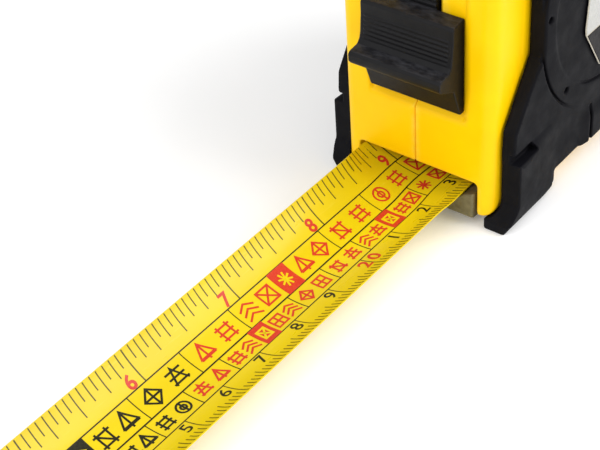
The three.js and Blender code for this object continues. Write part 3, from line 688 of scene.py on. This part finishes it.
class Print:
    """Flat printed shapes, drawn in (x from the hook, s from the inch edge) in millimetres."""

    def __init__(self):
        self.bm = bmesh.new()

    def face(self, points):
        self.bm.faces.new([self.bm.verts.new((x, s, 0)) for x, s in points])

    def bar(self, x0, x1, s0, s1):
        self.face([(x0, s0), (x0, s1), (x1, s1), (x1, s0)])

    def stroke(self, points, width, closed):
        """A line of constant width along points, with mitred corners."""
        v = [Vector(p) for p in points]
        if closed:
            v = [v[-1], *v, v[0], v[1]]
        left, right = [], []
        for i, p in enumerate(v):
            before = (p - v[max(i - 1, 0)]) if i else (v[1] - p)
            after = (v[i + 1] - p) if i + 1 < len(v) else before
            a = Vector((-before.y, before.x)).normalized()
            b = Vector((-after.y, after.x)).normalized()
            mitre = (a + b).normalized()
            reach = width / 2 / max(mitre.dot(a), 0.4)
            left.append(p + mitre * reach)
            right.append(p - mitre * reach)
        first, last = (1, len(v) - 2) if closed else (0, len(v) - 1)
        for i in range(first, last):
            self.face([left[i], right[i], right[i + 1], left[i + 1]])

    def number(self, value, x, s, height, weight, spacing=1.0):
        """A numeral centred at (x, s), its top towards the inch edge."""
        curve = bpy.data.curves.new("numeral", "FONT")
        curve.body = str(value)
        curve.size = height / DIGIT_SHARE
        curve.offset = weight
        curve.space_character = spacing
        curve.resolution_u = 3
        curve.align_x, curve.align_y = "CENTER", "CENTER"
        text = placed("numeral", curve)
        bpy.context.view_layer.update()
        mesh = text.to_mesh()
        corners = np.array([v.co for v in mesh.vertices])
        middle = (corners.max(0) + corners.min(0)) / 2
        verts = [self.bm.verts.new((x + c[0] - middle[0], s - c[1] + middle[1], 0)) for c in corners]
        for facet in mesh.polygons:
            self.bm.faces.new([verts[i] for i in facet.vertices])
        text.to_mesh_clear()
        bpy.data.objects.remove(text)
        bpy.data.curves.remove(curve)

    def wrapped(self, name, stations, lift):
        """The shapes along the blade's stations, laid on it as thin closed films."""
        bm = self.bm.copy()
        start, end = stations[0], stations[-1]
        for at, keep in ((start, 1), (end, -1)):
            bmesh.ops.bisect_plane(bm, geom=[*bm.verts, *bm.edges, *bm.faces], plane_co=(at, 0, 0),
                                   plane_no=(-keep, 0, 0), clear_outer=True)
        near_mouth = LAST_X - 45
        across = [x for k, x in enumerate(stations) if k % 3 == 0 or x > near_mouth]
        cuts = [((0, s, 0), (0, 1, 0)) for s in np.arange(1, BLADE_W, 1.0)]
        cuts += [((x, 0, 0), (1, 0, 0)) for x in across]
        for point, normal in cuts:
            bmesh.ops.bisect_plane(bm, geom=[*bm.verts, *bm.edges, *bm.faces], plane_co=point,
                                   plane_no=normal)
        flat = [(v, v.co.x, v.co.y) for v in bm.verts]
        raised = bmesh.ops.extrude_face_region(bm, geom=list(bm.faces))["geom"]
        for v in [g for g in raised if isinstance(g, bmesh.types.BMVert)]:
            v.co = blade_point(v.co.x, v.co.y, lift + INK_T)
        for v, x, s in flat:
            v.co = blade_point(x, s, lift)
        return from_bmesh(name, bm)


INCH = 25.4
LANE_A, LANE_B, LANE_C = 7.15, 13.05, 18.13
UPPER_CELL, LOWER_CELL = 13.4, 9.7
LAST_X = LEAD_X - TIP_X


def inch_scale(fine, red):
    lengths = {16: LANE_A, 8: 5.3, 4: 4.8, 2: 4.1, 1: 3.0}
    for k in range(1, int(LAST_X / INCH * 16)):
        step = next(m for m in lengths if k % m == 0)
        width = 0.26 if step == 16 else 0.22
        x = k * INCH / 16
        fine.bar(x - width / 2, x + width / 2, 0.15, lengths[step])
    for inch in range(1, int(LAST_X / INCH) + 1):
        red.number(inch, inch * INCH - 2.4, 5.5, 2.95, 0.1)


def metric_scale(fine, black, red):
    for k in range(1, int(LAST_X)):
        reach = LANE_C if k % 10 == 0 else 21.4 if k % 5 == 0 else 22.3
        fine.bar(k - RULE_W / 2, k + RULE_W / 2, reach, BLADE_W - 0.15)
    for cm in range(1, int(LAST_X / 10) + 1):
        if cm % 10:
            black.number(cm % 10, cm * 10 - 1.45, 19.9, 2.85, 0.03)
        else:
            red.number(cm, cm * 10 + 0.4, 20.15, 3.0, 0.08, 1.4)


def line(*points):
    return points, False


def loop(points):
    return points, True


def plain_marks():
    """Geometric marks in a unit square, each a list of strokes: (points, whether they close)."""
    left, middle, right = (line((u, -0.5), (u, 0.5)) for u in (-0.3, 0.0, 0.3))
    top, across, bottom = (line((-0.5, v), (0.5, v)) for v in (-0.34, 0.0, 0.34))
    square, diamond = loop(ring_points(0.64, 4, math.pi / 4)), loop(ring_points(0.54, 4))
    return [
        [square, across, middle],
        [loop(ring_points(0.46)), loop(ring_points(0.2, 8)), middle],
        [top, bottom, left, right, line((-0.3, -0.34), (0.3, 0.34))],
        [line((0, 0), p) for p in ring_points(0.52, 8, math.pi / 8)],
        [diamond, across, middle],
        [top, across, bottom, line((-0.4, 0.45), (0, -0.5), (0.4, 0.45))],
        [square, line((-0.44, -0.44), (0.44, 0.44)), line((-0.44, 0.44), (0.44, -0.44))],
        [line((-0.5, v), (0, v - 0.3), (0.5, v)) for v in (-0.2, 0.15, 0.5)],
        [left, right, top, across, bottom],
        [loop(ring_points(0.55, 3, -math.pi / 2)), bottom, middle],
    ]


MARKS = plain_marks()


def draw_mark(layer, kind, x, s, width, height):
    for points, closed in MARKS[kind]:
        layer.stroke([(x + px * width, s + ps * height) for px, ps in points], MARK_W, closed)


def pattern_row(black, red, yellow, cell, low, high, black_section, half_header, mark_size, order):
    """A row of ruled cells, each with two marks; every fourth rule carries a filled header."""
    centre = (low + high) / 2
    for k in range(1, int(LAST_X / cell) + 1):
        section = (k - 1) // 4
        layer = black if section % 3 == black_section else red
        start, end = (k - 1) * cell, min(k * cell, LAST_X)
        if (k - 1) % 4 == 2:
            start += half_header
        if k % 4 == 2:
            end -= half_header
        for part in (0.27, 0.73):
            draw_mark(layer, next(order), start + part * (end - start), centre, *mark_size)
        if k % 4 == 2 and k * cell + half_header < LAST_X:
            mid = k * cell
            layer.bar(mid - half_header, mid + half_header, low, high)
            draw_mark(yellow, next(order), mid, centre, 0.75 * mark_size[0], 0.9 * mark_size[1])
        elif k * cell < LAST_X:
            black.bar(k * cell - RULE_W / 2, k * cell + RULE_W / 2, low, high)


def mark_order():
    """Marks in a fixed shuffled order without two alike side by side."""
    last = -1
    while True:
        pick = int(rng.integers(len(MARKS)))
        if pick != last:
            last = pick
            yield pick


def build_blade():
    fine, black, red, yellow = Print(), Print(), Print(), Print()
    inch_scale(fine, red)
    metric_scale(fine, black, red)
    for lane, width in ((LANE_A, 0.24), (LANE_B, 0.3), (LANE_C, 0.24)):
        black.bar(0.8, LAST_X, lane - width / 2, lane + width / 2)
    order = mark_order()
    pattern_row(black, red, yellow, UPPER_CELL, LANE_A, LANE_B, 2, 2.35, (3.7, 3.7), order)
    pattern_row(black, red, yellow, LOWER_CELL, LANE_B, LANE_C, 0, 1.95, (2.9, 3.0), order)

    layers = ((fine, "scales", INK_OLIVE, 0.01), (black, "black", INK_BLACK, 0.012),
              (red, "red", INK_RED, 0.014), (yellow, "yellow", BLADE, 0.05))
    spans = {"tip": np.linspace(0.8, HOOKED, 5), "drawn": np.linspace(HOOKED, LAST_X, 121)}
    for span, stations in spans.items():
        strip = blade_strip("blade_" + span, stations)
        films = [(strip, BLADE)]
        for layer, name, material, lift in layers:
            films.append((layer.wrapped(f"print_{name}_{span}", stations, lift), material))
        for piece, material in films:
            if not piece.data.polygons:
                bpy.data.objects.remove(piece)
            elif span == "tip":
                finish_piece(piece, "blade_end", "blade_paint", material)
            else:
                finish_piece(piece, "case", "blade_paint", material)
                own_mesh(piece)
        if span == "drawn":
            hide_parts("blade")
    for layer, *_ in layers:
        layer.bm.free()


def build_lead():
    """The hidden end of the blade, which bends up and flattens onto the coil."""
    coil_r = 25.8
    start = np.array((LEAD_X, BLADE_Z))
    to_reel = np.array(REEL) - start
    distance = np.linalg.norm(to_reel)
    slope = math.atan2(to_reel[1], to_reel[0]) - math.asin(coil_r / distance)
    run = math.sqrt(distance ** 2 - coil_r ** 2) - 1.0
    rows = []
    for t in np.linspace(0, 1, 25):
        tilt = slope * min(1.0, 2.2 * t)
        heading = slope * min(1.0, 1.6 * t)
        r = BLADE_ARC_R / max(1 - t, 0.02)
        centre = start + run * t * np.array((math.cos(heading), math.sin(heading)))
        row = []
        for lift, order in ((0, 1), (-BLADE_T, -1)):
            for s in np.linspace(0, BLADE_W, 25)[::order]:
                angle = (BLADE_W / 2 - s) / r
                face_r = r - BLADE_T - lift
                y, rise = face_r * math.sin(angle), r - face_r * math.cos(angle)
                x, z = centre + rise * np.array((-math.sin(tilt), math.cos(tilt)))
                row.append(Vector((x, y, z)) * MM)
        rows.append(row)
    bm = bmesh.new()
    looped_grid(bm, rows)
    finish_piece(from_bmesh("blade_lead", bm), "case", "blade_paint", BLADE)


# ------------------------------------------------------------------ hook and rivets

RIVETS = [(TIP_X + x, y) for y in (-3, 3) for x in (5, 11)]


def build_hook():
    step = 0.12
    grid = sample_grid(*node_box("end_hook"), step)
    x, y, z = grid
    rho = np.hypot(y, z - BLADE_Z - 16)
    tongue = meet(slab(rho, 14.7, 15.5), np.abs(y) - 6.9, 0.2)
    tongue = meet(tongue, z - BLADE_Z - 8, 0.1)
    tongue = meet(tongue, slab(x, TIP_X - 0.5, TIP_X + 14.5), 0.2)
    plate = round_box(y, z, (-9, 0.5), (9, 10.8), (1.6, 1.2, 1.6, 1.2))
    lip = meet(plate, slab(x, TIP_X - 0.75, TIP_X - 0.2), 0.15)
    pad = meet(meet(plate, z - BLADE_Z + 0.3, 0.3), slab(x, TIP_X - 0.6, TIP_X), 0.1)
    body = join(join(lip, pad, 0.1), tongue, 0.5)
    for rx, ry in RIVETS:
        slot = np.hypot(np.maximum(np.abs(x - rx) - 0.4, 0), y - ry) - 1.3
        body = less(body, meet(slot, slab(z, 1, 19)), 0.1)
    finish_piece(moulded("end_hook_plate", body, grid, step), "hook", "steel", STEEL, "end_hook")


def lathe(name, profile, centre):
    """A solid turned about an upright axis from (radius, height) points that start and end on it."""
    sides = 32
    bm = bmesh.new()
    rings = []
    for r, h in profile:
        around = ring_points(r, sides) if r else [(0, 0)]
        rings.append([bm.verts.new((Vector(centre) + Vector((u, v, h))) * MM) for u, v in around])
    for one, two in zip(rings, rings[1:]):
        for j in range(sides):
            k = (j + 1) % sides
            corners = (one[j % len(one)], one[k % len(one)], two[k % len(two)], two[j % len(two)])
            bm.faces.new(list(dict.fromkeys(corners)))
    return from_bmesh(name, bm)


def build_rivets():
    for k, (x, y) in enumerate(RIVETS):
        dome = [(1.5 * math.cos(a), 2.35 + 0.45 * math.sin(a)) for a in np.linspace(0, 1.45, 7)]
        profile = [(0, -0.1), (0.9, -0.1), (1, 0), (1, 2.2), (1.42, 2.2), (1.5, 2.26), *dome, (0, 2.8)]
        rivet = lathe(f"rivet_{k + 1}", profile, (x, y, BLADE_Z))
        finish_piece(rivet, "blade_end", "steel", STEEL, f"hook_rivet_{k + 1}")


# ------------------------------------------------------------------ mouth

def build_mouth():
    step = 0.15
    grid = sample_grid(*node_box("mouth_wear_plate"), step)
    x, y, z = grid
    half = MOUTH_HALF_W - 0.3
    top = BLADE_Z - 0.5 + y * y / 52
    body = meet(np.abs(y) - half, z - top, 0.4)
    body = meet(body, slab(x, FRONT_X - 0.8, FRONT_X + 6.4), 0.5)
    body = meet(body, 1.9 - z, 0.4)
    nose = meet(x - (FRONT_X - 0.3), z - 2.2)
    body = less(body, nose, 0.3)
    finish_piece(moulded("wear_plate", body, grid, step), "case", "wear_steel", WEAR, "mouth_wear_plate")


# ------------------------------------------------------------------ badge

def shield(inset=0.0):
    half = [(8.4 - inset, 14.5 - inset), (10.8 - inset, -6.6), (10.5 - inset, -7.8 + 0.2 * inset),
            (4.2 - 0.4 * inset, -17.6 + inset)]
    outline = [(-u, w) for u, w in half] + half[::-1]
    return [(REEL[0] + u, REEL[1] + w) for u, w in outline]


def build_badge():
    step = 0.12
    low, high = node_box("badge")
    grid = sample_grid(low, high, step)
    x, y, z = grid
    t = -y
    floor, face = -high[1], -low[1]
    split, half_gap = REEL[1] - 7.9, 0.12
    rim = meet(polygon(x, z, filleted(shield(), 0.8)), slab(t, floor, face - 0.12), 0.1)
    finish_piece(moulded("badge_rim", rim, grid, step, 0.01), "case", "badge_print", BORDER, "badge")
    inside = polygon(x, z, filleted(shield(0.17), 0.6))
    plates = (("badge_panel", split + half_gap - z, SILVER),
              ("badge_field_plate", z - split + half_gap, FIELD))
    for name, part, material in plates:
        plate = meet(meet(inside, part, 0.15), slab(t, face - 0.2, face), 0.08)
        finish_piece(moulded(name, plate, grid, step, 0.01), "case", "badge_print", material)


# ------------------------------------------------------------------ clip and screws

def smooth_path(points):
    """Cuts a path's corners twice, keeping its ends."""
    points = [np.array(p, float) for p in points]
    for _ in range(2):
        cut = [points[0]]
        for a, b in zip(points, points[1:]):
            cut += [a * 0.75 + b * 0.25, a * 0.25 + b * 0.75]
        points = [*cut, points[-1]]
    return points


def swept_strip(u, v, path, half):
    """Distance to a bent strip's side view: path is its centre line."""
    nearest = np.inf
    for a, b in zip(path, path[1:]):
        e = b - a
        t = np.clip(((u - a[0]) * e[0] + (v - a[1]) * e[1]) / (e @ e), 0, 1)
        nearest = np.minimum(nearest, np.hypot(u - a[0] - t * e[0], v - a[1] - t * e[1]))
    return nearest - half


def build_clip():
    step = 0.16
    half_w = 8
    low, high = node_box("clip_base")
    grid = sample_grid(low, high, step)
    x, y, z = grid
    base = meet(np.abs(x - REEL[0]) - half_w, slab(y, low[1], high[1]), 0.3)
    base = meet(base, slab(z, low[2], high[2]), 0.4)
    base = less(base, disc(x, z, REEL, 1.8), 0.2)
    finish_piece(moulded("clip_foot", base, grid, step), "case", "clip_steel", CLIP, "clip_base")

    low, high = node_box("clip_arm")
    grid = sample_grid(low, high, step)
    x, y, z = grid
    face, top, middle = low[1] - 0.3, high[2] - 0.05, 28.0
    path = [(face + 0.8, top), (face + 0.85, top - 1.6), (middle - 0.5, top - 5.4), (middle, top - 7),
            (middle, 16), (middle - 0.9, 13.2), (face + 0.95, 9.8), (face + 1.0, 8.7), (face + 2.6, 6.2)]
    strip = swept_strip(y, z, smooth_path(path), 0.46)
    taper = np.clip((14 - z) / 9, 0, 1) * 1.2
    arm = meet(strip, np.abs(x - REEL[0]) - half_w + taper, 0.3)
    finish_piece(moulded("clip_spring_arm", arm, grid, step), "clip", "clip_steel", CLIP, "clip_arm")


def build_screws():
    """Screw heads with a cross recess; each stands for its whole CAD screw."""
    step = 0.11
    # CAD node, piece, place, seat, side, head's radius and height, shank's radius
    heads = [(f"case_screw_{k + 1}", f"screw_{k + 1}", at, 16.0, 1, 2.4, 1.3, 1.2)
             for k, at in enumerate(SCREWS)]
    clip_face = node_box("clip_base")[1][1]
    heads.append(("clip_screw", "clip_fixing_screw", REEL, clip_face + 0.1, 1, 3.2, 1.1, 1.4))
    heads.append(("post_screw", "post_fixing_screw", REEL, 16.7, -1, 3.0, 0.5, 1.4))
    for node, name, at, seat, side, head_r, head_h, shank_r in heads:
        near = seat - 0.4
        y_low, y_high = sorted((side * near, side * (seat + head_h)))
        low = (at[0] - head_r, y_low, at[1] - head_r)
        high = (at[0] + head_r, y_high, at[1] + head_r)
        grid = sample_grid(low, high, step)
        x, y, z = grid
        t = side * y
        rho = np.hypot(x - at[0], z - at[1])
        head = meet(rho - head_r, slab(t, seat, seat + head_h - 0.02 - 0.03 * rho * rho), 0.25)
        head = join(head, meet(rho - shank_r, slab(t, near, seat + 0.2), 0.1), 0.1)
        u, v = np.abs(x - at[0]), np.abs(z - at[1])
        arm = 0.55 * head_r
        cross = np.minimum(np.maximum(u - 0.28, v - arm), np.maximum(v - 0.28, u - arm))
        depth = min(0.9, 0.75 * head_h)
        head = less(head, meet(cross, seat + head_h - depth - t, 0.1), 0.08)
        finish_piece(moulded(name, head, grid, step, 0.01), "case", "steel", STEEL, node)


# ------------------------------------------------------------------ carried-over CAD nodes

def paint_cad_nodes():
    looks = {
        "detent_spring": STEEL, "centre_post": STEEL, "washer_badge_side": GREY,
        "washer_clip_side": GREY, "hook_bumper": RUBBER, "lock_arm": GREY, "brake_pad": RUBBER,
        "reel_drum": WHITE, "reel_cover": WHITE, "blade_coil": BLADE, "power_spring": STEEL,
    }
    for node, material in looks.items():
        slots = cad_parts[node].data.materials
        slots.clear()
        slots.append(material)


# ------------------------------------------------------------------ stage, light, camera

def build_stage():
    bm = bmesh.new()
    bmesh.ops.create_grid(bm, x_segments=8, y_segments=8, size=3.0)
    floor = from_bmesh("floor", bm)
    s = Surface("floor_paper", Specular_IOR_Level=0.1, Roughness=0.9, Emission_Strength=0.12,
                Emission_Color=(1, 1, 1, 1))
    s.colour(s.blend(s.ramp(s.noise(60.0), 0.3, 0.7), srgb("fbfbfb"), srgb("f6f6f6")))
    floor.data.materials.append(s.material)
    world = bpy.data.worlds.new("studio")
    world.use_nodes = True
    world.node_tree.nodes["Background"].inputs["Color"].default_value = (1, 1, 1, 1)
    world.node_tree.nodes["Background"].inputs["Strength"].default_value = 0.55
    bpy.context.scene.world = world


def soft_light(name, position, target, size, power):
    light = bpy.data.lights.new(name, "AREA")
    light.shape = "RECTANGLE"
    light.size, light.size_y = size
    light.energy = power
    lamp = placed(name, light)
    direction = (Vector(target) - Vector(position)) * MM
    lamp.location = Vector(position) * MM
    lamp.rotation_euler = direction.to_track_quat("-Z", "Y").to_euler()


def build_lights():
    soft_light("key", (-640, 40, 570), (-40, 0, 30), (0.6, 0.6), 3.8)
    soft_light("side", (160, -430, 440), (-80, 0, 10), (0.45, 0.45), 3.0)


def build_camera():
    """Looks along the photograph's direction; azimuth 0 would look along +Y."""
    azimuth, elevation, roll = (math.radians(a) for a in (-50.05, 38.42, -4.18))
    focal_px, image_width = 1574.6, 600
    back = Vector((math.sin(azimuth) * math.cos(elevation), -math.cos(azimuth) * math.cos(elevation),
                   math.sin(elevation)))
    right = Vector((0, 0, 1)).cross(back).normalized()
    up = back.cross(right)
    rolled_right = right * math.cos(roll) + up * math.sin(roll)
    rolled_up = -right * math.sin(roll) + up * math.cos(roll)
    data = bpy.data.cameras.new("camera")
    data.sensor_width = 36.0
    data.lens = focal_px / image_width * data.sensor_width
    data.clip_start, data.clip_end = 0.01, 20
    camera = placed("camera", data)
    turn = Matrix((rolled_right, rolled_up, back)).transposed().to_4x4()
    camera.matrix_world = Matrix.Translation(Vector((-239.55, -140.56, 192.44)) * MM) @ turn
    bpy.context.scene.camera = camera


build_case()
build_grips()
build_slider()
build_blade()
build_lead()
build_hook()
build_rivets()
build_mouth()
build_badge()
build_clip()
build_screws()
paint_cad_nodes()
build_stage()
build_lights()
build_camera()
bpy.context.scene.view_settings.view_transform = "Standard"
